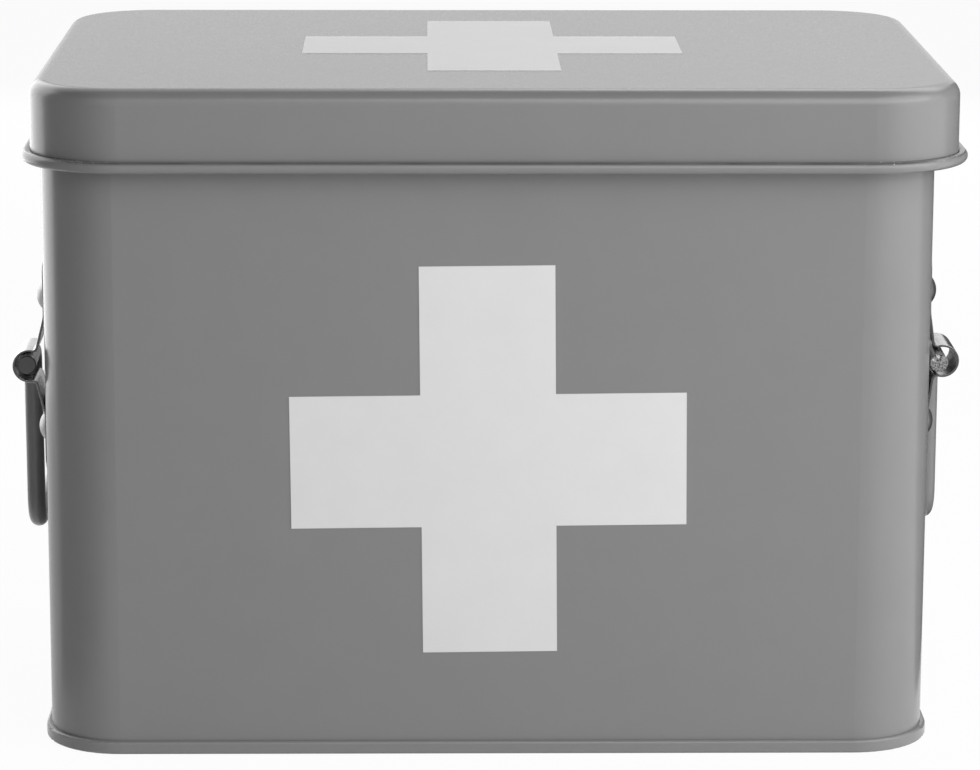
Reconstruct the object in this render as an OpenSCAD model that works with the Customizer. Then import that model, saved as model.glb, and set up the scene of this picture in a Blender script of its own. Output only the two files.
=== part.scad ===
/* [Box] */
// Width of the body over its side walls
body_w = 302; // [240:1:400]
// Depth of the body over its front and back walls
body_d = 209; // [190:1:300]
// Height from the table to the lid's top plane
box_h = 229.2; // [215:0.1:320]
// Outer corner radius of the body, seen from above
corner_r = 25.5; // [15:0.5:34]
// Thickness of the steel sheet
sheet = 0.8; // [0.6:0.1:1]
// Radius of the roll that closes the body's rim
rim_r = 1.6; // [1.2:0.1:2.4]
// Width of the lap seam up the back of the body
lap_w = 9; // [6:1:14]

/* [Base seam] */
// Height of the folded seam round the base
seam_h = 4.5; // [3.6:0.1:6]
// How far the seam stands out from the wall
seam_out = 1.8; // [1.7:0.1:2.6]
// Height of the floor panel's underside above the table
floor_lift = 1.6; // [1:0.1:2]
// Outer radius of the seam's folded edges
seam_fold_r = 0.9; // [0.85:0.05:1.2]

/* [Lid] */
// Free gap between the body's wall and the inside of the lid's skirt
lid_gap = 4.9; // [4:0.1:6]
// Gap between the body's rim and the closed lid
rest_gap = 0.3; // [0.2:0.1:0.6]
// Height of the lid's skirt from the top plane to the bottom of its rolled edge
skirt_h = 27.6; // [24:0.1:40]
// Radius of the roll between the lid's top and its skirt
lid_roll_r = 5.3; // [2:0.1:6]
// Outer radius of the rolled edge round the bottom of the skirt
curl_r = 1.95; // [1.6:0.05:2.6]
// Angle at which the rolled edge ends, short of the skirt
curl_end = 122; // [100:1:126]
// How far the lid sits off centre on its hinges, to the right
lid_shift = 2.3; // [0:0.1:2.4]

/* [Crosses] */
// Length of each cross from tip to tip
cross_l = 133.6; // [80:0.1:150]
// Width of the arms of each cross
cross_arm = 45.6; // [20:0.1:60]
// Thickness of the painted crosses
cross_t = 0.15; // [0.1:0.05:0.3]
// Height of the front cross's centre above the table
front_cross_z = 102.7; // [85:0.1:115]
// Turn of the front cross on the wall
front_cross_turn = 0.59; // [0:0.01:2]
// How far the lid's cross sits behind the middle of the lid
lid_cross_back = 4; // [0:0.1:10]

/* [Handle clips] */
// Height of the left clips' middle above the table
left_clip_z = 129.2; // [90:0.1:150]
// Height of the right clips' middle above the table
right_clip_z = 130.9; // [90:0.1:150]
// Distance from the front or back wall to the middle of each clip
clip_inset = 39; // [37:0.5:48]
// Width of a clip along the wall
clip_w = 21; // [16:0.5:22]
// Height of a clip from end to end
clip_h = 73; // [66:0.5:90]
// Thickness of the clips' strip
clip_t = 0.8; // [0.6:0.1:1.2]
// Inner radius of the loop that holds the wire
loop_r = 4.9; // [4.8:0.1:6]
// Distance from the left wall to the centre of its clips' loops
left_loop_out = 5.75; // [5.4:0.05:6.5]
// Distance from the right wall to the centre of its clips' loops
right_loop_out = 5.15; // [5:0.05:6.5]
// How far the left clips' strip stands off the wall where it turns into the loop
left_neck_lift = 2; // [0:0.1:2.4]
// How far the right clips' strip stands off the wall where it turns into the loop
right_neck_lift = 1.5; // [0:0.1:2]
// Radius at the middle of the strip where it turns into the loop
neck_r = 1.6; // [1.2:0.1:2.2]
// Corner radius of the clips' ends
clip_end_r = 5; // [2:0.5:7]

/* [Handle bails] */
// Diameter of the bail's round wire
wire_d = 6.3; // [5:0.1:6.4]
// Drop of the left bail from its pivot to the middle of the grip
left_bail_drop = 60.4; // [50:0.1:66]
// Drop of the right bail from its pivot to the middle of the grip
right_bail_drop = 58.2; // [50:0.1:66]
// How far the wire's ends stand past the outer edges of the clips
wire_end_out = 3; // [1:0.5:6]
// Bend radius where the wire turns out into the clips
pivot_bend_r = 5; // [4:0.5:8]
// Bend radius between the arms and the grip
grip_bend_r = 10; // [6:0.5:16]
// Chamfer on the cut ends of the wire
wire_chamfer = 0.3; // [0.1:0.1:0.8]
// How far the left wire lies outward of the middle of its loops
left_seat_out = 0.4; // [-1:0.05:1]
// How far the left wire lies above the middle of its loops
left_seat_up = 1.15; // [-1.2:0.05:1.2]
// How far the right wire lies outward of the middle of its loops
right_seat_out = -1.6; // [-1.65:0.05:1]
// How far the right wire lies above the middle of its loops
right_seat_up = -0.2; // [-1:0.05:1]

/* [Clip rivets] */
// Distance of each rivet above or below the middle of its clip
clip_rivet_z = 23; // [20:0.5:28]
// Diameter of the rivet's domed head
clip_head_d = 11; // [8:0.5:12]
// Height of the rivet's domed head
clip_head_h = 2.8; // [1.5:0.1:3.5]
// Diameter of the rivet's shank
clip_shank_d = 5; // [4:0.1:6]

/* [Hinges] */
// Distance from the box's middle to the middle of each hinge
hinge_x = 90; // [60:1:95]
// Width of a hinge
hinge_w = 40; // [30:1:50]
// Thickness of the hinge leaves
leaf_t = 1; // [0.8:0.1:1.2]
// Diameter of the hinge pin
pin_d = 2.8; // [2.4:0.1:3]
// Height of the body leaf below the pin
body_leaf_h = 22; // [18:1:30]
// Gap between the lid's rolled edge and the knuckles under it
knuckle_drop = 0.8; // [0.5:0.1:1.5]
// Gap between a knuckle and the back wall
knuckle_gap = 0.5; // [0.4:0.05:0.6]
// Gap between neighbouring knuckles
knuckle_play = 0.2; // [0.1:0.05:0.4]
// Diameter of the hinge rivets' heads
hinge_head_d = 6; // [5:0.5:8]
// Height of the hinge rivets' heads
hinge_head_h = 1.6; // [1:0.1:2.4]
// Diameter of the hinge rivets' shanks
hinge_shank_d = 3; // [2.5:0.1:4]
// Distance between a leaf's two rivets
hinge_rivet_span = 24; // [16:1:30]

/* [Hidden] */
$fn = 96;

paint = [0.47, 0.47, 0.47];
white = [0.86, 0.86, 0.86];
plate = [0.72, 0.72, 0.70];

// Slack that keeps shanks and folds off the holes and folds round them
fit = 0.05;
// Extra length of a cutting tool past the face that it cuts
past = 1;

// Distance from the body's corner centres to the middle of each wall
core_x = body_w / 2 - corner_r;
core_y = body_d / 2 - corner_r;
rim_top = box_h - sheet - rest_gap;

// The base seam, with x measured out from the corner centres
pan_inner = corner_r - sheet - fit;
seam_edge = corner_r + seam_out;
hook_x = seam_edge - sheet - fit;
hook_bottom = sheet + fit;
hook_top = seam_h - sheet - fit;

// The lid, with x measured out from the same corner centres
lid_r = corner_r + lid_gap + sheet;
skirt_inner = lid_r - sheet;
curl_x = skirt_inner + curl_r;
curl_z = box_h - skirt_h + curl_r;

// The clips: their place, and how far above and below its middle a strip leaves the wall
clip_y = body_d / 2 - clip_inset;
loop_mid_r = loop_r + clip_t / 2;
seat_margin = 0.5;
lift_z = clip_rivet_z - clip_head_d / 2 - seat_margin;
arc_step = 6;
flat_lap = 2;
clip_tail_d = clip_shank_d + 3;
clip_tail_h = 1.2;

// The bails
wire_r = wire_d / 2;
wire_end_y = clip_y + clip_w / 2 + wire_end_out;
bend_gap = 0.5;
arm_y = clip_y - clip_w / 2 - bend_gap - pivot_bend_r;

// The hinges: the pin's place, and five knuckles, three on the body and two on the lid
knuckles = 5;
knuckle_r = pin_d / 2 + fit + leaf_t;
pin_y = body_d / 2 + knuckle_gap + knuckle_r;
pin_z = box_h - skirt_h - knuckle_drop - knuckle_r;
knuckle_w = hinge_w / knuckles;
notch = knuckle_r + 0.5;
lid_leaf_face = body_d / 2 + lid_gap;
lid_leaf_top = box_h - sheet - lid_roll_r - 1;
body_rivet_z = pin_z - body_leaf_h * 0.6;
lid_rivet_z = (pin_z + notch + lid_leaf_top) / 2 + 1;
hinge_tail_d = hinge_shank_d + 1.6;
hinge_tail_h = 0.8;
pin_head_r = pin_d / 2 + 0.7;
pin_head_t = 0.8;

// A flat slice of pie between two angles less than 180 degrees apart
module wedge(r, from, to) {
    steps = 4;
    polygon(concat([[0, 0]],
        [for (i = [0:steps]) let (a = from + (to - from) * i / steps) r * [cos(a), sin(a)]]));
}

// A strip of sheet bent round a centre, from one angle on to the other
module bent_strip(r, t, from, to) {
    if (to - from > 180)
        difference() {
            circle(r);
            circle(r - t);
            wedge(2 * r, to, from + 360);
        }
    else
        intersection() {
            difference() {
                circle(r);
                circle(r - t);
            }
            wedge(2 * r, from, to);
        }
}

// A rectangle from one corner to the other
module area(x0, y0, x1, y1) {
    translate([x0, y0]) square([x1 - x0, y1 - y0]);
}

// Sweeps a profile round the box: x runs out from the corner centres, y runs up
module round_box() {
    for (k = [0:3]) {
        a = k % 2 == 0 ? core_x : core_y;
        b = k % 2 == 0 ? core_y : core_x;
        rotate([0, 0, 90 * k]) translate([a, b, 0]) {
            rotate([90, 0, 0]) linear_extrude(2 * b) children();
            rotate_extrude(angle = 90) children();
        }
    }
}

// The flat middle of a panel, inside the corner centres
module panel_middle(z0, z1) {
    translate([-core_x, -core_y, z0]) cube([2 * core_x, 2 * core_y, z1 - z0]);
}

// Holes through a wall at the back of the box, for one hinge's two rivets
module hinge_holes(x, z, d) {
    for (s = [-1, 1])
        translate([x + s * hinge_rivet_span / 2, body_d / 2 - 2 * past, z]) rotate([-90, 0, 0])
            cylinder(d = d + 2 * fit, h = lid_gap + 4 * past);
}

// Holes along X for one clip's two rivets
module clip_holes(h) {
    for (s = [-1, 1])
        translate([-past - sheet, 0, s * clip_rivet_z]) rotate([0, 90, 0])
            cylinder(d = clip_shank_d + 2 * fit, h = h + sheet + 2 * past);
}

// Puts its children on a side wall: side is -1 for the left, 1 for the right
module on_side(side, y, z) {
    translate([side * body_w / 2, y, z]) mirror([side < 0 ? 1 : 0, 0, 0]) children();
}

function clip_z(side) = side < 0 ? left_clip_z : right_clip_z;
function loop_out(side) = side < 0 ? left_loop_out : right_loop_out;
function neck_lift(side) = side < 0 ? left_neck_lift : right_neck_lift;

// Wall wrapped round the body, rolled in at the rim and hooked into the base seam
module body_wall() {
    color(paint) difference() {
        union() {
            round_box() {
                area(corner_r - sheet, hook_bottom, corner_r, rim_top - rim_r);
                translate([corner_r - rim_r, rim_top - rim_r]) bent_strip(rim_r, sheet, 0, 270);
                area(corner_r, hook_bottom, hook_x, hook_bottom + sheet);
                area(hook_x - sheet, hook_bottom + sheet, hook_x, hook_top);
            }
            translate([-lap_w / 2, body_d / 2, seam_h + fit])
                cube([lap_w, sheet, pin_z - seam_h]);
        }
        for (side = [-1, 1]) {
            for (y = [-clip_y, clip_y]) on_side(side, y, clip_z(side)) clip_holes(sheet);
            hinge_holes(side * hinge_x, body_rivet_z, hinge_shank_d);
        }
    }
}

// Floor panel whose edge is folded out and over the wall's hook
module base_pan() {
    color(paint) {
        round_box() {
            area(0, floor_lift, pan_inner, floor_lift + sheet);
            area(pan_inner - sheet, 0, pan_inner, floor_lift);
            area(pan_inner, 0, seam_edge - seam_fold_r, sheet);
            translate([seam_edge - seam_fold_r, seam_fold_r]) bent_strip(seam_fold_r, sheet, 270, 360);
            area(seam_edge - sheet, seam_fold_r, seam_edge, seam_h - seam_fold_r);
            translate([seam_edge - seam_fold_r, seam_h - seam_fold_r])
                bent_strip(seam_fold_r, sheet, 0, 90);
            area(corner_r + fit, seam_h - sheet, seam_edge - seam_fold_r, seam_h);
        }
        panel_middle(floor_lift, floor_lift + sheet);
    }
}

// Plain cross lying flat in the XY plane, standing up by the thickness of its paint
module cross() {
    linear_extrude(cross_t) {
        square([cross_l, cross_arm], center = true);
        square([cross_arm, cross_l], center = true);
    }
}

module front_cross() {
    color(white) translate([0, -body_d / 2, front_cross_z]) rotate([90, 0, 0])
        rotate([0, 0, front_cross_turn]) cross();
}

module lid_cross() {
    color(white) translate([lid_shift, lid_cross_back, box_h]) cross();
}

// Lid pressed from one sheet: flat top, rolled shoulder, skirt and an open curl at the bottom
module lid_shell() {
    color(paint) difference() {
        translate([lid_shift, 0, 0]) {
            round_box() {
                area(0, box_h - sheet, lid_r - lid_roll_r, box_h);
                translate([lid_r - lid_roll_r, box_h - lid_roll_r]) bent_strip(lid_roll_r, sheet, 0, 90);
                area(skirt_inner, curl_z, lid_r, box_h - lid_roll_r);
                translate([curl_x, curl_z]) bent_strip(curl_r, sheet, 180, 360 + curl_end);
            }
            panel_middle(box_h - sheet, box_h);
        }
        for (side = [-1, 1]) hinge_holes(side * hinge_x, lid_rivet_z, hinge_shank_d);
    }
}

// Points along an arc, with or without its first one
function arc(x, y, r, from, to, with_first = false) =
    let (steps = ceil(abs(to - from) / arc_step))
    [for (i = [with_first ? 0 : 1:steps])
        let (a = from + (to - from) * i / steps) [x + r * cos(a), y + r * sin(a)]];

// One face of a clip's strip from its upper end to its lower one: face is 1 away from the wall, 0 on it.
// The strip leans off the wall to its upper neck, runs round the loop and leans back from its lower neck.
function strip_face(side, face) =
    let (x = face * clip_t, out = loop_out(side), bend_r = neck_r + clip_t / 2 - x,
        neck_out = neck_lift(side) + clip_t / 2 + neck_r,
        neck_up = sqrt(pow(loop_mid_r + neck_r, 2) - pow(out - neck_out, 2)),
        neck_angle = atan2(neck_up, neck_out - out),
        reach = [neck_out - clip_t / 2, lift_z - neck_up],
        lean = acos(neck_r / norm(reach)) - atan2(reach[1], reach[0]),
        fold_z = lift_z + (face - 0.5) * clip_t * tan(lean / 2))
    concat([[x, lift_z + flat_lap], [x, fold_z]],
        arc(neck_out, neck_up, bend_r, 180 + lean, 180 + neck_angle, true),
        arc(out, 0, loop_r + x, neck_angle, -neck_angle),
        arc(neck_out, -neck_up, bend_r, 180 - neck_angle, 180 - lean),
        [[x, -fold_z], [x, -lift_z - flat_lap]]);

// The strip's bent middle: both necks and the loop between them
module clip_loop(side) {
    back = strip_face(side, 0);
    translate([0, clip_w / 2, 0]) rotate([90, 0, 0]) linear_extrude(clip_w)
        polygon(concat(strip_face(side, 1), [for (i = [len(back) - 1:-1:0]) back[i]]));
}

// A clip's upper end, flat on the wall, with round corners
module clip_end() {
    rotate([90, 0, 90]) linear_extrude(clip_t) {
        area(-clip_w / 2, lift_z + seat_margin / 2, clip_w / 2, clip_h / 2 - clip_end_r);
        area(clip_end_r - clip_w / 2, clip_h / 2 - clip_end_r, clip_w / 2 - clip_end_r, clip_h / 2);
        for (s = [0, 1]) translate([(clip_w / 2 - clip_end_r) * (1 - 2 * s), clip_h / 2 - clip_end_r])
            intersection() {
                circle(clip_end_r);
                wedge(2 * clip_end_r, 90 * s, 90 * s + 90);
            }
    }
}

// Strap clip: a strip with two flat ends on the wall and a loop between them
module clip(side, y) {
    color(plate) on_side(side, y, clip_z(side)) difference() {
        union() {
            clip_end();
            mirror([0, 0, 1]) clip_end();
            clip_loop(side);
        }
        clip_holes(clip_t);
    }
}

module left_front_clip() clip(-1, -clip_y);
module left_rear_clip() clip(-1, clip_y);
module right_front_clip() clip(1, -clip_y);
module right_rear_clip() clip(1, clip_y);

// Rivet along +Z with its head's underside at 0 and its tail closed under the grip
module rivet(head_d, head_h, shank_d, grip, tail_d, tail_h) {
    ball_r = (pow(head_d / 2, 2) + pow(head_h, 2)) / (2 * head_h);
    rotate_extrude() {
        intersection() {
            translate([0, head_h - ball_r]) circle(ball_r);
            square([head_d / 2, head_h]);
        }
        area(0, -grip, shank_d / 2, 0);
        area(0, -grip - tail_h, tail_d / 2, -grip);
    }
}

module clip_rivets(side, y) {
    color(plate) on_side(side, y, clip_z(side)) for (s = [-1, 1])
        translate([clip_t, 0, s * clip_rivet_z]) rotate([0, 90, 0])
            rivet(clip_head_d, clip_head_h, clip_shank_d, clip_t + sheet, clip_tail_d, clip_tail_h);
}

module left_front_rivets() clip_rivets(-1, -clip_y);
module left_rear_rivets() clip_rivets(-1, clip_y);
module right_front_rivets() clip_rivets(1, -clip_y);
module right_rear_rivets() clip_rivets(1, clip_y);

// Round wire along an arc in the YZ plane
module wire_bend(y, z, r, start) {
    translate([0, y, z]) rotate([90, 0, 90]) rotate_extrude(angle = 90, start = start)
        translate([r, 0]) circle(wire_r);
}

// Front half of a bail: out of the clip, down the arm and half way along the grip
module bail_half(drop) {
    stub = wire_end_y - arm_y - pivot_bend_r - wire_chamfer;
    translate([0, -arm_y - pivot_bend_r, 0]) rotate([90, 0, 0]) {
        cylinder(r = wire_r, h = stub);
        translate([0, 0, stub]) cylinder(r1 = wire_r, r2 = wire_r - wire_chamfer, h = wire_chamfer);
    }
    wire_bend(-arm_y - pivot_bend_r, -pivot_bend_r, pivot_bend_r, 0);
    translate([0, -arm_y, grip_bend_r - drop])
        cylinder(r = wire_r, h = drop - grip_bend_r - pivot_bend_r);
    wire_bend(grip_bend_r - arm_y, grip_bend_r - drop, grip_bend_r, 180);
    translate([0, 0, -drop]) rotate([90, 0, 0]) cylinder(r = wire_r, h = arm_y - grip_bend_r);
}

module bail(side, seat_out, seat_up, drop) {
    color(paint) on_side(side, 0, clip_z(side) + seat_up) translate([loop_out(side) + seat_out, 0, 0]) {
        bail_half(drop);
        mirror([0, 1, 0]) bail_half(drop);
    }
}

module left_bail() bail(-1, left_seat_out, left_seat_up, left_bail_drop);
module right_bail() bail(1, right_seat_out, right_seat_up, right_bail_drop);

// Knuckles of one hinge, numbered from the left: those from first on, every second one
module hinge_knuckles(x, first, r, play) {
    for (i = [first:2:knuckles - 1])
        translate([x - hinge_w / 2 + i * knuckle_w + play / 2, pin_y, pin_z]) rotate([0, 90, 0])
            cylinder(r = r, h = knuckle_w - play);
}

module pin_bore(x) {
    translate([x - hinge_w / 2 - past, pin_y, pin_z]) rotate([0, 90, 0])
        cylinder(r = pin_d / 2 + fit, h = hinge_w + 2 * past);
}

// Room in a leaf for the other leaf's knuckles
module knuckle_notches(x, first, y0, y1) {
    for (i = [first:2:knuckles - 1])
        translate([x - hinge_w / 2 + i * knuckle_w - knuckle_play / 2, y0 - past, pin_z - notch])
            cube([knuckle_w + knuckle_play, y1 - y0 + 2 * past, 2 * notch]);
}

module body_leaf(x) {
    face = body_d / 2;
    color(plate) difference() {
        union() {
            difference() {
                translate([x - hinge_w / 2, face, pin_z - body_leaf_h])
                    cube([hinge_w, leaf_t, body_leaf_h]);
                knuckle_notches(x, 1, face, face + leaf_t);
            }
            hinge_knuckles(x, 0, knuckle_r, knuckle_play);
        }
        pin_bore(x);
        hinge_holes(x, body_rivet_z, hinge_shank_d);
    }
}

module lid_leaf(x) {
    color(plate) difference() {
        union() {
            difference() {
                translate([x - hinge_w / 2, lid_leaf_face - leaf_t, pin_z])
                    cube([hinge_w, leaf_t, lid_leaf_top - pin_z]);
                knuckle_notches(x, 0, lid_leaf_face - leaf_t, lid_leaf_face);
            }
            hinge_knuckles(x, 1, knuckle_r, knuckle_play);
        }
        pin_bore(x);
        hinge_holes(x, lid_rivet_z, hinge_shank_d);
    }
}

module left_hinge_body_leaf() body_leaf(-hinge_x);
module right_hinge_body_leaf() body_leaf(hinge_x);
module left_hinge_lid_leaf() lid_leaf(-hinge_x);
module right_hinge_lid_leaf() lid_leaf(hinge_x);

module hinge_rivets(x, face, z, grip) {
    color(plate) for (s = [-1, 1])
        translate([x + s * hinge_rivet_span / 2, face, z]) rotate([-90, 0, 0])
            rivet(hinge_head_d, hinge_head_h, hinge_shank_d, grip, hinge_tail_d, hinge_tail_h);
}

module left_hinge_body_rivets() hinge_rivets(-hinge_x, body_d / 2 + leaf_t, body_rivet_z, leaf_t + sheet);
module right_hinge_body_rivets() hinge_rivets(hinge_x, body_d / 2 + leaf_t, body_rivet_z, leaf_t + sheet);
module left_hinge_lid_rivets() hinge_rivets(-hinge_x, lid_leaf_face + sheet, lid_rivet_z, leaf_t + sheet);
module right_hinge_lid_rivets() hinge_rivets(hinge_x, lid_leaf_face + sheet, lid_rivet_z, leaf_t + sheet);

// Pin through all five knuckles, headed over at both ends
module hinge_pin(x) {
    color(plate) translate([x - hinge_w / 2, pin_y, pin_z]) rotate([0, 90, 0]) {
        cylinder(d = pin_d, h = hinge_w);
        translate([0, 0, -pin_head_t]) cylinder(r = pin_head_r, h = pin_head_t);
        translate([0, 0, hinge_w]) cylinder(r = pin_head_r, h = pin_head_t);
    }
}

module left_hinge_pin() hinge_pin(-hinge_x);
module right_hinge_pin() hinge_pin(hinge_x);

body_wall();
base_pan();
front_cross();
left_front_clip();
left_rear_clip();
right_front_clip();
right_rear_clip();
left_front_rivets();
left_rear_rivets();
right_front_rivets();
right_rear_rivets();
left_hinge_body_leaf();
right_hinge_body_leaf();
left_hinge_body_rivets();
right_hinge_body_rivets();
left_hinge_pin();
right_hinge_pin();
lid_shell();
lid_cross();
left_hinge_lid_leaf();
right_hinge_lid_leaf();
left_hinge_lid_rivets();
right_hinge_lid_rivets();
left_bail();
right_bail();
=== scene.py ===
"""Looks of a sheet-steel first-aid tin: powder coat, painted crosses, plated clips and hinges."""

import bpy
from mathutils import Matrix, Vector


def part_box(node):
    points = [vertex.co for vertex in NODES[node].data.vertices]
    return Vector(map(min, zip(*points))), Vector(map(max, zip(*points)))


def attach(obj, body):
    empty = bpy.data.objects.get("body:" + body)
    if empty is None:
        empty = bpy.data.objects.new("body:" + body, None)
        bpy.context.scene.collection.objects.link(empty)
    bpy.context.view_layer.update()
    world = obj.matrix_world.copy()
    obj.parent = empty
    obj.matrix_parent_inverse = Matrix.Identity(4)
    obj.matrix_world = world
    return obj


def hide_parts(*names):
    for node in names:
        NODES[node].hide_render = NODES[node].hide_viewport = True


bl_info = {
    "name": "First-Aid Tin",
    "version": (1, 0, 0),
    "blender": (4, 5, 0),
    "location": "3D View > Sidebar > Tin",
    "description": "Finishes for a powder-coated tin with wire drop handles",
    "category": "Object",
}

import bpy
import bmesh
import math
from bpy.props import FloatProperty, FloatVectorProperty, PointerProperty
from mathutils import Matrix, Vector

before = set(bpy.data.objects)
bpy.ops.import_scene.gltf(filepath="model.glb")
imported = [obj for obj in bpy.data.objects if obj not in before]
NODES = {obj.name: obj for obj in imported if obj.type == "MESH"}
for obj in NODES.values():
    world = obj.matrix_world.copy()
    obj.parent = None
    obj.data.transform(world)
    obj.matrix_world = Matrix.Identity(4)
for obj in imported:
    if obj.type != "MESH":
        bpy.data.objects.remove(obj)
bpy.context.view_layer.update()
MM = 0.001

LID_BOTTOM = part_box("lid_shell")[0].z

# Which way each side of the tin faces along X
SIDES = {"left": -1, "right": 1}

# Sizes of the coat's texture; the heights of its bumps are in millimetres
GRAIN_SIZE, GRAIN_HEIGHT = 0.7 * MM, 0.005
RIPPLE_SIZE, RIPPLE_HEIGHT = 55 * MM, 0.12

# A wire's bare cut end: tone of its steel, depth of its pits and reach of the torn paint
CUT_ENDS = {"left": (0.2, 0.3, 0.0), "right": (0.9, 0.85, 0.9 * MM)}
BARE_REACH = 0.35 * MM

# The torn paint: the height on the wire's end where it starts, and its waves' counts and heights
TEAR_FROM = 0.35
TEAR_WAVES = ((7, 0.5), (17, 0.3))


def grey(value):
    """A neutral colour from one linear value."""
    return (value, value, value, 1.0)


class TinCoat(bpy.types.PropertyGroup):
    paint: FloatVectorProperty(
        name="Paint", description="Colour of the powder coat", subtype="COLOR", size=4,
        min=0, max=1, default=grey(0.205))
    cross: FloatVectorProperty(
        name="Cross", description="Colour of the painted crosses", subtype="COLOR", size=4,
        min=0, max=1, default=grey(0.69))
    wire: FloatVectorProperty(
        name="Wire", description="Colour of the paint on the bails", subtype="COLOR", size=4,
        min=0, max=1, default=grey(0.17))
    roughness: FloatProperty(
        name="Roughness", description="Roughness of the powder coat", subtype="FACTOR",
        min=0.05, max=1, default=0.24)
    grain: FloatProperty(
        name="Grain", description="Size of the coat's fine texture", unit="LENGTH",
        min=0.0001, max=0.005, default=GRAIN_SIZE)
    ripple: FloatProperty(
        name="Ripple", description="Size of the sheet's slow waves", unit="LENGTH",
        min=0.01, max=0.2, default=RIPPLE_SIZE)
    # The crevice takes a line of painted shade
    crevice: FloatProperty(
        name="Crevice", description="Height of the crevice over the lid's lower edge",
        unit="LENGTH", default=3.6 * MM)
    crevice_half: FloatProperty(
        name="Crevice Half", description="Half the width of the crevice", unit="LENGTH",
        default=0.4 * MM)


class TinMetal(bpy.types.PropertyGroup):
    plate: FloatVectorProperty(
        name="Plate", description="Colour of the bright plating", subtype="COLOR", size=4,
        min=0, max=1, default=grey(0.55))
    roughness: FloatProperty(
        name="Roughness", description="Roughness of the plating", subtype="FACTOR",
        min=0.02, max=1, default=0.2)
    edge: FloatProperty(
        name="Edge", description="Radius of the strips' rounded edges", unit="LENGTH",
        min=0.00005, max=0.0004, default=0.2 * MM)
    # Painted dark reflection on the faces along the strips' edges
    edge_reflection_tone: FloatVectorProperty(
        name="Painted Edge Reflection", description="Colour of the strips' sheared edges", subtype="COLOR",
        size=4, min=0, max=1, default=grey(0.1))
    raw: FloatVectorProperty(
        name="Raw Steel", description="Colour of the wires' bare cut ends", subtype="COLOR",
        size=4, min=0, max=1, default=grey(0.42))


class TinClip(bpy.types.PropertyGroup):
    strip: FloatProperty(
        name="Strip", description="Thickness of the clips' strip", unit="LENGTH",
        default=0.8 * MM)
    loop: FloatProperty(
        name="Loop", description="Inner radius of the loop round the wire", unit="LENGTH",
        default=4.9 * MM)
    neck: FloatProperty(
        name="Neck", description="Radius at the middle of the strip where it turns into the loop",
        unit="LENGTH", default=1.6 * MM)
    left_lift: FloatProperty(
        name="Left Lift", description="How far the left strips stand off the wall at the neck",
        unit="LENGTH", default=2.6 * MM)
    right_lift: FloatProperty(
        name="Right Lift", description="How far the right strips stand off the wall at the neck",
        unit="LENGTH", default=1.5 * MM)
    seat: FloatProperty(
        name="Seat", description="Length of each flat end that lies on the wall", unit="LENGTH",
        default=19.5 * MM)
    corner: FloatProperty(
        name="Corner", description="Corner radius of the flat ends", unit="LENGTH",
        default=5.0 * MM)


class TinBail(bpy.types.PropertyGroup):
    stub: FloatProperty(
        name="Stub", description="Length from a wire's cut end to the middle of its arm",
        unit="LENGTH", default=29.5 * MM)
    chamfer: FloatProperty(
        name="Chamfer", description="Chamfer of the wires' cut ends", unit="LENGTH",
        default=0.3 * MM)
    pivot_bend: FloatProperty(
        name="Upper Bend", description="Bend radius where the wire turns out into the clips",
        unit="LENGTH", default=5.0 * MM)
    grip_bend: FloatProperty(
        name="Lower Bend", description="Bend radius between the arms and the grip",
        unit="LENGTH", default=10.0 * MM)
    left_drop: FloatProperty(
        name="Left Drop", description="Drop of the left bail's grip", unit="LENGTH",
        default=63.1 * MM)
    right_drop: FloatProperty(
        name="Right Drop", description="Drop of the right bail's grip", unit="LENGTH",
        default=60.5 * MM)
    left_splay: FloatProperty(
        name="Left Splay", description="How much further out than its ends the left arms lie",
        unit="LENGTH", default=0.8 * MM)
    right_splay: FloatProperty(
        name="Right Splay", description="How much further out than its ends the right arms lie",
        unit="LENGTH", default=0.35 * MM)
    left_lean: FloatProperty(
        name="Left Lean", description="How much further out than its arms the left grip hangs",
        unit="LENGTH", default=-0.2 * MM)
    right_lean: FloatProperty(
        name="Right Lean", description="How much further out than its arms the right grip hangs",
        unit="LENGTH", default=0.0)


class TinStage(bpy.types.PropertyGroup):
    eye: FloatVectorProperty(
        name="Camera", description="Place of the camera", subtype="TRANSLATION", size=3,
        default=(-20.97 * MM, -1419.7 * MM, 417.5 * MM))
    pitch: FloatProperty(
        name="Pitch", description="How far the camera looks down", subtype="ANGLE",
        default=math.radians(12.377))
    yaw: FloatProperty(
        name="Yaw", description="How far the camera looks to the right", subtype="ANGLE",
        default=math.radians(0.932))
    roll: FloatProperty(
        name="Roll", description="Turn of the camera about its own axis", subtype="ANGLE",
        default=math.radians(0.162))
    lens: FloatProperty(
        name="Lens", description="Focal length in millimetres", unit="CAMERA", min=20, max=400,
        default=147.4)
    key: FloatProperty(
        name="Key", description="Power of the high light at the right of the camera",
        unit="POWER", default=11.5)
    fill: FloatProperty(
        name="Fill", description="Power of the low light at the right of the camera",
        unit="POWER", default=7.3)
    rear: FloatProperty(
        name="Rear", description="Power of the high light behind the tin", unit="POWER",
        default=3.0)
    back: FloatProperty(
        name="Back", description="Power of the low light behind the tin", unit="POWER",
        default=7.0)
    rim: FloatProperty(
        name="Rim", description="Power of the light at the tin's left rear", unit="POWER",
        default=1.8)
    ambient: FloatProperty(
        name="Ambient", description="Strength of the room's light on the tin", subtype="FACTOR",
        min=0, max=1, default=0.1)


# Shader node helpers

def new_group(name, inputs, outputs):
    """An empty shader node group with float sockets."""
    tree = bpy.data.node_groups.new(name, "ShaderNodeTree")
    kind = "NodeSocketFloat"
    for label, value in inputs.items():
        socket = tree.interface.new_socket(name=label, in_out="INPUT", socket_type=kind)
        socket.default_value = value
    for label in outputs:
        tree.interface.new_socket(name=label, in_out="OUTPUT", socket_type=kind)
    return tree, tree.nodes.new("NodeGroupInput"), tree.nodes.new("NodeGroupOutput")


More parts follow.
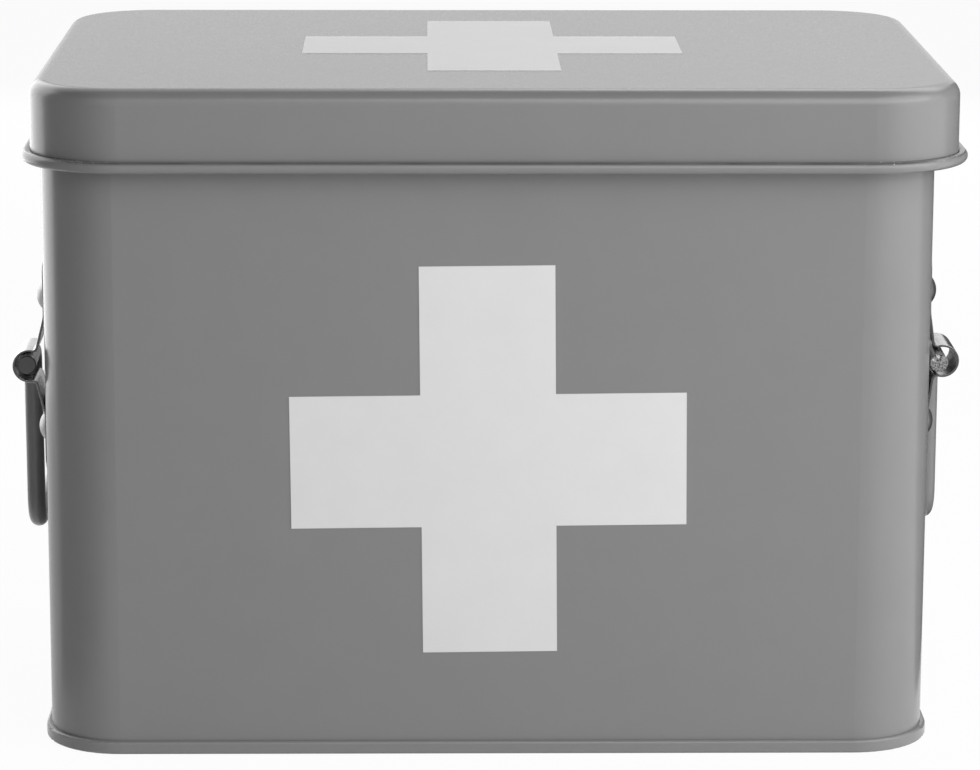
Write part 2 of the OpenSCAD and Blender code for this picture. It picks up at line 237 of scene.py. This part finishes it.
def node(tree, kind, **settings):
    """A node of one kind, with its settings and its inputs' values, by name."""
    made = tree.nodes.new(kind)
    for key, value in settings.items():
        if key.startswith("in_"):
            made.inputs[key[3:].replace("_", " ")].default_value = value
        else:
            setattr(made, key, value)
    return made


def feed(tree, slot, value):
    """Links an input to a socket, or sets it to a constant."""
    if isinstance(value, bpy.types.NodeSocket):
        tree.links.new(value, slot)
    else:
        slot.default_value = value


def maths(tree, operation, first, second=0.0, clamp=False):
    """The output of a Math node whose inputs are sockets or numbers."""
    made = node(tree, "ShaderNodeMath", operation=operation, use_clamp=clamp)
    for slot, value in zip(made.inputs, (first, second)):
        feed(tree, slot, value)
    return made.outputs[0]


def remap(tree, value, low, high, to_low=0.0, to_high=1.0):
    """A value moved from one range to another, and held inside it."""
    made = node(tree, "ShaderNodeMapRange", clamp=True)
    for slot, number in zip(list(made.inputs)[:5], (value, low, high, to_low, to_high)):
        feed(tree, slot, number)
    return made.outputs["Result"]


def mixed(tree, factor, first, second, blend="MIX"):
    """The first colour with the second mixed into it by a factor."""
    made = node(tree, "ShaderNodeMix", data_type="RGBA", blend_type=blend)
    for label, value in (("Factor", factor), ("A", first), ("B", second)):
        feed(tree, made.inputs[label], value)
    return made.outputs["Result"]


def tinted(tree, colour, tone):
    """A colour times a grey tone."""
    return mixed(tree, 1.0, colour, tone, "MULTIPLY")


def noise(tree, scale, detail, roughness, vector=None):
    """The value of a noise texture in object space; scale is a number or a socket."""
    made = node(tree, "ShaderNodeTexNoise", in_Detail=detail, in_Roughness=roughness)
    feed(tree, made.inputs["Scale"], scale)
    if vector is None:
        vector = node(tree, "ShaderNodeTexCoord").outputs["Object"]
    tree.links.new(vector, made.inputs["Vector"])
    return made.outputs[0]


def scale_of(tree, size):
    """The scale at which a texture's features have a size."""
    return maths(tree, "DIVIDE", 1.0, size)


def along(tree, label, axis):
    """One axis of a texture coordinate."""
    split = node(tree, "ShaderNodeSeparateXYZ")
    tree.links.new(node(tree, "ShaderNodeTexCoord").outputs[label], split.inputs[0])
    return split.outputs[axis]


def bump(tree, height, distance):
    """A Bump node's normal from a height."""
    made = node(tree, "ShaderNodeBump", in_Strength=1.0, in_Distance=distance)
    tree.links.new(height, made.inputs["Height"])
    return made.outputs["Normal"]


# Surface effects

def coat_group():
    """Orange peel, slow ripples of the sheet and a slight mottle, for anything painted."""
    tree, start, end = new_group(
        "Powder Coat",
        {"Grain Size": GRAIN_SIZE, "Grain Height": GRAIN_HEIGHT,
         "Ripple Size": RIPPLE_SIZE, "Ripple Height": RIPPLE_HEIGHT},
        ("Height", "Tone", "Matt"))
    ripple_scale = scale_of(tree, start.outputs["Ripple Size"])
    mottle_scale = maths(tree, "MULTIPLY", ripple_scale, 3.1)
    grain = noise(tree, scale_of(tree, start.outputs["Grain Size"]), 2.5, 0.55)
    ripple = noise(tree, ripple_scale, 1.5, 0.4)
    mottle = noise(tree, mottle_scale, 4.0, 0.6)
    fine = maths(tree, "MULTIPLY", grain, start.outputs["Grain Height"])
    slow = maths(tree, "MULTIPLY", ripple, start.outputs["Ripple Height"])
    tree.links.new(maths(tree, "ADD", fine, slow), end.inputs["Height"])
    tree.links.new(remap(tree, mottle, 0.3, 0.7, 0.985, 1.015), end.inputs["Tone"])
    tree.links.new(remap(tree, grain, 0.35, 0.65, -0.03, 0.03), end.inputs["Matt"])
    return tree


def crevice_group():
    """Painted shade along a crevice over a rolled edge, as a dark line, with sparse light specks
    near its ends.
    """
    tree, start, end = new_group(
        "Crevice",
        {"Middle": 0.2, "Band": 0.5 * MM, "Speck Size": 0.6 * MM, "Share": 0.3},
        ("Painted Shade", "Specks"))
    uneven_scale, patch_scale = 60.0, 45.0
    specks_from, specks_full = 100 * MM, 140 * MM
    plain_level = 0.78
    off = maths(tree, "SUBTRACT", along(tree, "Object", "Z"), start.outputs["Middle"])
    off = maths(tree, "ABSOLUTE", off)
    off = maths(tree, "DIVIDE", off, start.outputs["Band"])
    near = maths(tree, "SUBTRACT", 1.0, off, clamp=True)
    uneven = remap(tree, noise(tree, uneven_scale, 3.0, 0.6), 0.3, 0.7, 0.5, 0.95)
    tree.links.new(maths(tree, "MULTIPLY", near, uneven), end.inputs["Painted Shade"])
    spots = noise(tree, scale_of(tree, start.outputs["Speck Size"]), 3.0, 0.7)
    to_end = maths(tree, "ABSOLUTE", along(tree, "Object", "X"))
    ends = remap(tree, to_end, specks_from, specks_full)
    patches = maths(tree, "MULTIPLY", noise(tree, patch_scale, 1.0, 0.5), ends)
    patches = maths(tree, "MULTIPLY", start.outputs["Share"], patches)
    shown = maths(tree, "GREATER_THAN", spots, maths(tree, "SUBTRACT", plain_level, patches))
    inside = maths(tree, "GREATER_THAN", near, 0.0)
    tree.links.new(maths(tree, "MULTIPLY", inside, shown), end.inputs["Specks"])
    return tree


def metal_group():
    """Faint rolling lines and darkening smudges on bright plated strip."""
    tree, start, end = new_group(
        "Bright Plate", {"Line Size": 0.25 * MM, "Smudge Size": 6 * MM},
        ("Height", "Smudge", "Tone"))
    stretch = node(tree, "ShaderNodeMapping", in_Scale=(1.0, 1.0, 0.04))
    place = node(tree, "ShaderNodeTexCoord").outputs["Object"]
    tree.links.new(place, stretch.inputs["Vector"])
    line_scale = scale_of(tree, start.outputs["Line Size"])
    lines = noise(tree, line_scale, 2.0, 0.6, stretch.outputs["Vector"])
    smudge = noise(tree, scale_of(tree, start.outputs["Smudge Size"]), 3.0, 0.6)
    tree.links.new(lines, end.inputs["Height"])
    tree.links.new(remap(tree, smudge, 0.35, 0.7, 0.0, 0.12), end.inputs["Smudge"])
    tree.links.new(remap(tree, smudge, 0.3, 0.75, 1.0, 0.86), end.inputs["Tone"])
    return tree


def placed(tree, name, build, **values):
    """A shared node group in a material, with its inputs' values, built at its first use."""
    group = bpy.data.node_groups.get(name) or build()
    made = node(tree, "ShaderNodeGroup", node_tree=group)
    for key, value in values.items():
        made.inputs[key.replace("_", " ")].default_value = value
    return made


# Materials

def new_material(name):
    """A material with a Principled BSDF, and its tree."""
    made = bpy.data.materials.new(name)
    made.use_nodes = True
    return made, made.node_tree, made.node_tree.nodes["Principled BSDF"]


def matt(name, tone):
    """A plain matt grey for the stage."""
    made, tree, shader = new_material(name)
    shader.inputs["Base Color"].default_value = grey(tone)
    shader.inputs["Roughness"].default_value = 0.9
    return made, tree, shader


def painted(name, colour, roughness, ripple_height=RIPPLE_HEIGHT, crevice=None):
    """Powder-coated sheet steel; crevice is the height and the half width of a line of painted
    shade.
    """
    coat = bpy.context.scene.tin_coat
    made, tree, shader = new_material(name)
    texture = placed(tree, "Powder Coat", coat_group, Grain_Size=coat.grain,
                     Grain_Height=GRAIN_HEIGHT, Ripple_Size=coat.ripple,
                     Ripple_Height=ripple_height)
    base = tinted(tree, colour, texture.outputs["Tone"])
    # A line of painted shade darkens the crevice; the light specks are flaws in the paint
    if crevice:
        marks = placed(tree, "Crevice", crevice_group, Middle=crevice[0], Band=crevice[1])
        for mask, tone in (("Painted Shade", 0.03), ("Specks", 0.75)):
            base = mixed(tree, marks.outputs[mask], base, grey(tone))
    matted = maths(tree, "ADD", texture.outputs["Matt"], roughness)
    tree.links.new(base, shader.inputs["Base Color"])
    tree.links.new(matted, shader.inputs["Roughness"])
    tree.links.new(bump(tree, texture.outputs["Height"], MM), shader.inputs["Normal"])
    shader.inputs["IOR"].default_value = 1.5
    return made


def plated(name, painted_reflection=False, wear=0.0):
    """Bright nickel plate, duller with wear; strip gets a painted dark reflection on its edge
    faces across Y.
    """
    metal = bpy.context.scene.tin_metal
    made, tree, shader = new_material(name)
    texture = placed(tree, "Bright Plate", metal_group)
    tone = maths(tree, "MULTIPLY", texture.outputs["Tone"], 1.0 - wear)
    base = tinted(tree, metal.plate, tone)
    # Painted dark reflection: the strip's edge faces, those facing along Y, turn dark
    if painted_reflection:
        edgeways = maths(tree, "ABSOLUTE", along(tree, "Normal", "Y"))
        base = mixed(tree, remap(tree, edgeways, 0.75, 0.95), base, metal.edge_reflection_tone)
    rubbed = maths(tree, "ADD", texture.outputs["Smudge"], metal.roughness + wear / 2)
    tree.links.new(base, shader.inputs["Base Color"])
    tree.links.new(rubbed, shader.inputs["Roughness"])
    tree.links.new(bump(tree, texture.outputs["Height"], 0.006 * MM), shader.inputs["Normal"])
    shader.inputs["Metallic"].default_value = 1.0
    return made


def bare_ends(material, reach, tone, pitted):
    """Bare cut steel past a distance from the middle of the wire, with dark pits."""
    tree = material.node_tree
    shader = tree.nodes["Principled BSDF"]
    pit_size = 0.5 * MM
    bare = maths(tree, "ABSOLUTE", along(tree, "Object", "Y"))
    bare = maths(tree, "GREATER_THAN", bare, reach)
    pits = remap(tree, noise(tree, 1 / pit_size, 3.0, 0.7), 0.4, 0.6, 1.0 - pitted, 1.0)
    raw = bpy.context.scene.tin_metal.raw
    steel = tinted(tree, raw, maths(tree, "MULTIPLY", pits, tone))
    paint = shader.inputs["Base Color"].links[0].from_socket
    tree.links.new(mixed(tree, bare, paint, steel), shader.inputs["Base Color"])
    tree.links.new(maths(tree, "MULTIPLY", bare, 0.8), shader.inputs["Metallic"])


def dress(name, material):
    """Gives a CAD node one material in all of its slots."""
    for holder in NODES[name].material_slots:
        holder.material = material


class TIN_OT_shells(bpy.types.Operator):
    """Powder coat on the body, the base and the lid"""
    bl_idname = "tin.shells"
    bl_label = "Painted Shells"

    def execute(self, context):
        coat = context.scene.tin_coat
        # The lid's coat has a line of painted shade along its crevice
        crevice = (LID_BOTTOM + coat.crevice, coat.crevice_half)
        dress("lid_shell", painted("lid_coat", coat.paint, coat.roughness, crevice=crevice))
        body = painted("body_coat", coat.paint, coat.roughness)
        for name in ("body_wall", "base_pan"):
            dress(name, body)
        return {"FINISHED"}


class TIN_OT_crosses(bpy.types.Operator):
    """Off-white paint on the two crosses"""
    bl_idname = "tin.crosses"
    bl_label = "Crosses"

    def execute(self, context):
        coat = context.scene.tin_coat
        flatter = 0.2
        paint = painted("cross_paint", coat.cross, coat.roughness + flatter)
        for name in ("front_cross", "lid_cross"):
            dress(name, paint)
        return {"FINISHED"}


class TIN_OT_fittings(bpy.types.Operator):
    """Bright plate on the rivets and the hinges, worn on the clips' rivets"""
    bl_idname = "tin.fittings"
    bl_label = "Rivets and Hinges"

    def execute(self, context):
        bright = plated("bright_plate")
        worn = plated("worn_plate", wear=0.35)
        for name in NODES:
            if name.endswith(("front_rivets", "rear_rivets")):
                dress(name, worn)
            elif "hinge" in name:
                dress(name, bright)
        return {"FINISHED"}


# Shapes of bent strip and wire

def turn_points(centre, radius, start, end, step=math.radians(5)):
    """Points along an arc in a plane, from one angle to the other."""
    count = max(2, math.ceil(abs(end - start) / step))
    angles = [start + (end - start) * i / count for i in range(count + 1)]
    return [Vector((centre[0] + radius * math.cos(a), centre[1] + radius * math.sin(a)))
            for a in angles]


def eased(before, corner, after, steps=4):
    """Points along a smooth bend that replaces a corner."""
    parts = [i / steps for i in range(steps + 1)]
    return [before.lerp(corner, t).lerp(corner.lerp(after, t), t) for t in parts]


def linked(name, data):
    """An object of its own in the scene."""
    made = bpy.data.objects.new(name, data)
    bpy.context.scene.collection.objects.link(made)
    return made


def skinned(name, work, rings):
    """A smooth object whose skin joins rings of points in turn, closed at both ends."""
    for a, b in zip(rings, rings[1:]):
        for k in range(len(a)):
            work.faces.new((a[k - 1], a[k], b[k], b[k - 1]))
    work.faces.new(rings[0])
    work.faces.new(reversed(rings[-1]))
    bmesh.ops.recalc_face_normals(work, faces=work.faces)
    mesh = bpy.data.meshes.new(name)
    work.to_mesh(mesh)
    work.free()
    mesh.shade_smooth()
    return linked(name, mesh)


def stands_in(made, node_name, body):
    """Puts a made piece in the place of a CAD node."""
    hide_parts(node_name)
    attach(made, body)


def clip_path(clip, height, reach, lift):
    """The middle line of a clip's strip from top to bottom, as places out from the wall and up."""
    flat = clip.strip / 2
    ring = clip.loop + flat
    out = reach - ring - flat
    neck = Vector((lift + flat + clip.neck, 0.0))
    neck.y = math.sqrt((ring + clip.neck) ** 2 - (out - neck.x) ** 2)
    opening = math.atan2(neck.y, neck.x - out)
    leave = height / 2 - clip.seat
    span = Vector((neck.x - flat, leave - neck.y))
    lean = math.acos(clip.neck / span.length) - math.atan2(span.y, span.x)
    fold = Vector((flat, leave))
    upper_neck = turn_points(neck, clip.neck, math.pi + lean, math.pi + opening)
    ease = 1.5 * MM
    bend = eased(fold + Vector((0.0, ease)), fold, fold.lerp(upper_neck[0], ease / span.length))
    tip_steps = 10
    tip = [Vector((flat, height / 2 - clip.corner * (1 - math.cos(math.pi / 2 * i / tip_steps))))
           for i in range(tip_steps + 1)]
    upper = tip + bend + upper_neck
    lower = [Vector((p.x, -p.y)) for p in reversed(upper)]
    return upper + turn_points((out, 0.0), ring, opening, -opening)[1:-1] + lower


def strip_section(half_width, half_thick, edge, steps=3):
    """Outline of a strip's cross-section with round edges: across the strip, out of the strip."""
    outline = []
    for quarter, (sx, sy) in enumerate(((1, 1), (-1, 1), (-1, -1), (1, -1))):
        for i in range(steps + 1):
            a = math.pi / 2 * (quarter + i / steps)
            outline.append((sx * (half_width - edge) + edge * math.cos(a),
                            sy * (half_thick - edge) + edge * math.sin(a)))
    return outline


def strip_mesh(name, path, width, thick, corner, edge, place):
    """A strip of even thickness bent along a path, with round corners at both of its ends."""
    thinning = 0.6  # share of the edge's radius that the strip loses at its very ends
    length = [0.0]
    for a, b in zip(path, path[1:]):
        length.append(length[-1] + (b - a).length)
    work = bmesh.new()
    rings = []
    for i, point in enumerate(path):
        ahead = (path[min(i + 1, len(path) - 1)] - path[max(i - 1, 0)]).normalized()
        side = Vector((-ahead.y, ahead.x))
        to_end = min(length[i], length[-1] - length[i], corner)
        half = width / 2 - corner + math.sqrt(max(0.0, corner ** 2 - (corner - to_end) ** 2))
        thinner = thinning * edge * (1 - min(1.0, to_end / edge))
        section = strip_section(half, thick / 2 - thinner, edge - thinner)
        rings.append([work.verts.new(place(point + side * up, across)) for across, up in section])
    made = skinned(name, work, rings)
    made.modifiers.new("even_shading", "WEIGHTED_NORMAL")
    return made


class TIN_OT_clips(bpy.types.Operator):
    """Bright strip clips, bent round the bails' wires"""
    bl_idname = "tin.clips"
    bl_label = "Clips"

    def execute(self, context):
        clip, metal = context.scene.tin_clip, context.scene.tin_metal
        plate = plated("clip_plate", painted_reflection=True)
        for hand, side in SIDES.items():
            lift = getattr(clip, f"{hand}_lift")
            for end in ("front", "rear"):
                node_name = f"{hand}_{end}_clip"
                low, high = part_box(node_name)
                wall = high.x if side < 0 else low.x
                middle = (low + high) / 2
                path = clip_path(clip, high.z - low.z, high.x - low.x, lift)

                def place(point, across):
                    return (wall + side * point.x, middle.y + across, middle.z + point.y)

                made = strip_mesh(f"{node_name}_strip", path, high.y - low.y, clip.strip,
                                  clip.corner, metal.edge, place)
                made.data.materials.append(plate)
                stands_in(made, node_name, "case")
        return {"FINISHED"}


def bail_path(bail, axle, half_length, drop, splay, lean):
    """Half of a bail's middle line, from its cut end to the middle of its grip, at the front."""
    arm = half_length - bail.stub
    bend = bail.pivot_bend
    stub = [Vector((-half_length, 0.0)), Vector((-arm - bend, 0.0))]
    top = turn_points((-arm - bend, -bend), bend, math.pi / 2, 0.0)
    low = turn_points((bail.grip_bend - arm, bail.grip_bend - drop), bail.grip_bend,
                      math.pi, math.pi * 1.5)
    points = stub + top[1:] + low + [Vector((0.0, -drop))]
    line = []
    for y, z in points:
        out = splay * min(1.0, (half_length + y) / bail.stub) + lean * min(1.0, -z / drop)
        line.append(axle + Vector((out, y, z)))
    return line


def wire_mesh(name, line, radius, chamfer, torn_reach, sides=32):
    """A round wire along a line, mirrored to the back, with chamfered ends and a torn edge."""
    line = line + [Vector((p.x, -p.y, p.z)) for p in reversed(line[:-1])]
    work = bmesh.new()
    rings = []

    def ring(centre, ahead, size, torn=0.0):
        up = Vector((1, 0, 0)).cross(ahead).normalized()
        out = ahead.cross(up)
        made = []
        for k in range(sides):
            a = 2 * math.pi * k / sides
            away = out * math.cos(a) + up * math.sin(a)
            waves = 1.0 + sum(height * math.sin(count * a) for count, height in TEAR_WAVES)
            chip = torn * max(0.0, away.z - TEAR_FROM) * waves
            made.append(work.verts.new(centre + away * size - ahead * chip))
        rings.append(made)

    first = (line[1] - line[0]).normalized()
    last = (line[-1] - line[-2]).normalized()
    cap = ((0.05, 0.0), (0.5, 0.0), (1 - chamfer / radius, 0.0), (1.0, chamfer))
    for share, back in cap:
        ring(line[0] + first * back, -first, radius * share, torn_reach * share)
    for i in range(1, len(line) - 1):
        ring(line[i], -(line[i + 1] - line[i - 1]).normalized(), radius)
    for share, back in reversed(cap):
        ring(line[-1] - last * back, -last, radius * share, -torn_reach * share)
    made = skinned(name, work, rings)
    made.data.set_sharp_from_angle(angle=math.radians(40))
    return made


class TIN_OT_bails(bpy.types.Operator):
    """Painted wire bails with bare cut ends"""
    bl_idname = "tin.bails"
    bl_label = "Bails"

    def execute(self, context):
        coat, bail = context.scene.tin_coat, context.scene.tin_bail
        for hand, side in SIDES.items():
            drop, splay, lean = (getattr(bail, f"{hand}_{size}")
                                 for size in ("drop", "splay", "lean"))
            tone, pitted, torn_reach = CUT_ENDS[hand]
            low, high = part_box(f"{hand}_bail")
            radius = (high.x - low.x) / 2
            axle = Vector((low.x + radius, 0.0, high.z - radius))
            line = bail_path(bail, axle, high.y, drop, side * splay, side * lean)
            made = wire_mesh(f"{hand}_bail_wire", line, radius, bail.chamfer, torn_reach)
            wire = painted(f"{hand}_bail_coat", coat.wire, coat.roughness, ripple_height=0.0)
            bare_ends(wire, high.y - BARE_REACH - torn_reach, tone, pitted)
            made.data.materials.append(wire)
            stands_in(made, f"{hand}_bail", f"{hand}_handle")
        return {"FINISHED"}


# The stage

def pale_where_seen(tree, shadow_share):
    """How much of plain white a camera, glossy or transmission ray sees."""
    path = node(tree, "ShaderNodeLightPath")
    seen = maths(tree, "MAXIMUM", path.outputs["Is Camera Ray"], path.outputs["Is Glossy Ray"])
    seen = maths(tree, "MAXIMUM", seen, path.outputs["Is Transmission Ray"])
    return maths(tree, "MULTIPLY", seen, 1.0 - shadow_share)


def stage_plane(name, corners, material):
    """A flat stage piece through four corners."""
    mesh = bpy.data.meshes.new(name)
    mesh.from_pydata([Vector(c) for c in corners], [], [(0, 1, 2, 3)])
    made = linked(name, mesh)
    mesh.materials.append(material)
    return made


def area_light(name, place, target, size, power):
    """A rectangular soft light that faces a point."""
    data = bpy.data.lights.new(name, "AREA")
    data.shape = "RECTANGLE"
    data.size, data.size_y = size
    data.energy = power
    made = linked(name, data)
    made.location = place
    facing = Vector(target) - Vector(place)
    made.rotation_euler = facing.to_track_quat("-Z", "Y").to_euler()
    made.visible_camera = False
    return made


class TIN_OT_stage(bpy.types.Operator):
    """Pale floor, soft lights, cards for the reflections and the camera"""
    bl_idname = "tin.stage"
    bl_label = "Stage"

    def execute(self, context):
        self.make_floor()
        self.make_world(context.scene)
        self.make_lights(context.scene.tin_stage)
        self.make_cards()
        self.make_camera(context.scene)
        return {"FINISHED"}

    def make_floor(self):
        material, tree, shader = matt("pale_floor", 0.8)
        white = node(tree, "ShaderNodeEmission", in_Color=grey(1.0), in_Strength=1.0)
        mix = node(tree, "ShaderNodeMixShader")
        tree.links.new(pale_where_seen(tree, shadow_share=0.05), mix.inputs["Fac"])
        tree.links.new(shader.outputs[0], mix.inputs[1])
        tree.links.new(white.outputs[0], mix.inputs[2])
        tree.links.new(mix.outputs[0], tree.nodes["Material Output"].inputs["Surface"])
        half = 4.0
        corners = ((-half, -half, 0), (half, -half, 0), (half, half, 0), (-half, half, 0))
        stage_plane("floor", corners, material)

    def make_world(self, scene):
        world = bpy.data.worlds.new("studio")
        scene.world = world
        world.use_nodes = True
        tree = world.node_tree
        back = tree.nodes["Background"]
        back.inputs["Color"].default_value = grey(1.0)
        seen = pale_where_seen(tree, shadow_share=0.0)
        strength = remap(tree, seen, 0.0, 1.0, scene.tin_stage.ambient, 1.0)
        tree.links.new(strength, back.inputs["Strength"])

    def make_lights(self, stage):
        middle = (0.0, 0.0, 0.12)
        area_light("key", place=(0.7, -0.8, 0.9), target=middle, size=(1.8, 0.85),
                   power=stage.key)
        fill = area_light("fill", place=(0.86, -0.6, 0.34), target=middle, size=(0.9, 0.6),
                          power=stage.fill)
        back = area_light("back", place=(0.1, 1.4, 0.45), target=middle, size=(1.2, 0.6),
                          power=stage.back)
        fill.visible_glossy = back.visible_glossy = False
        area_light("rear", place=(0.38, 0.62, 1.0), target=middle, size=(0.95, 0.5),
                   power=stage.rear)
        area_light("rim", place=(-0.47, 0.27, 0.3), target=(-0.15, -0.07, 0.2),
                   size=(0.55, 0.6), power=stage.rim)

    def make_cards(self):
        """Cards that only reflections see, each with its tone and its corners."""
        cards = {
            "overhead_card": (0.02, ((-1.6, -1.1, 1.3), (1.6, -1.1, 1.3),
                                     (1.6, 0.3, 1.3), (-1.6, 0.3, 1.3))),
            "left_card": (0.5, ((-0.21, -0.07, 0.0), (-0.21, -0.9, 0.0),
                                (-0.75, -1.1, 0.8), (-0.75, 0.1, 0.8))),
            "right_card": (0.02, ((0.19, -0.06, 0.0), (0.19, 0.5, 0.0),
                                  (0.6, 0.9, 0.6), (0.6, 0.0, 0.6))),
        }
        for name, (tone, corners) in cards.items():
            made = stage_plane(name, corners, matt(name, tone)[0])
            made.visible_camera = False
            made.visible_diffuse = False
            made.visible_shadow = False

    def make_camera(self, scene):
        stage = scene.tin_stage
        data = bpy.data.cameras.new("camera")
        data.sensor_width = 36.0
        data.lens = stage.lens
        data.clip_end = 50.0
        turn = (Matrix.Rotation(-stage.yaw, 4, "Z")
                @ Matrix.Rotation(math.pi / 2 - stage.pitch, 4, "X")
                @ Matrix.Rotation(stage.roll, 4, "Z"))
        made = linked("camera", data)
        made.matrix_world = Matrix.Translation(stage.eye) @ turn
        scene.camera = made
        scene.view_settings.view_transform = "Standard"


OPERATORS = (TIN_OT_stage, TIN_OT_shells, TIN_OT_crosses, TIN_OT_clips, TIN_OT_fittings,
             TIN_OT_bails)
GROUPS = {"tin_coat": TinCoat, "tin_metal": TinMetal, "tin_clip": TinClip, "tin_bail": TinBail,
          "tin_stage": TinStage}


class TIN_PT_panel(bpy.types.Panel):
    """Lists the steps that dress the tin"""
    bl_idname = "TIN_PT_panel"
    bl_label = "First-Aid Tin"
    bl_space_type = "VIEW_3D"
    bl_region_type = "UI"
    bl_category = "Tin"

    def draw(self, context):
        for step in OPERATORS:
            self.layout.operator(step.bl_idname)


def register():
    for made in (*GROUPS.values(), *OPERATORS, TIN_PT_panel):
        bpy.utils.register_class(made)
    for name, made in GROUPS.items():
        setattr(bpy.types.Scene, name, PointerProperty(type=made))


def unregister():
    for name in GROUPS:
        delattr(bpy.types.Scene, name)
    for made in (TIN_PT_panel, *reversed(OPERATORS), *reversed(GROUPS.values())):
        bpy.utils.unregister_class(made)


def main():
    register()
    for step in OPERATORS:
        group, name = step.bl_idname.split(".")
        getattr(getattr(bpy.ops, group), name)()


if __name__ == "__main__":
    main()
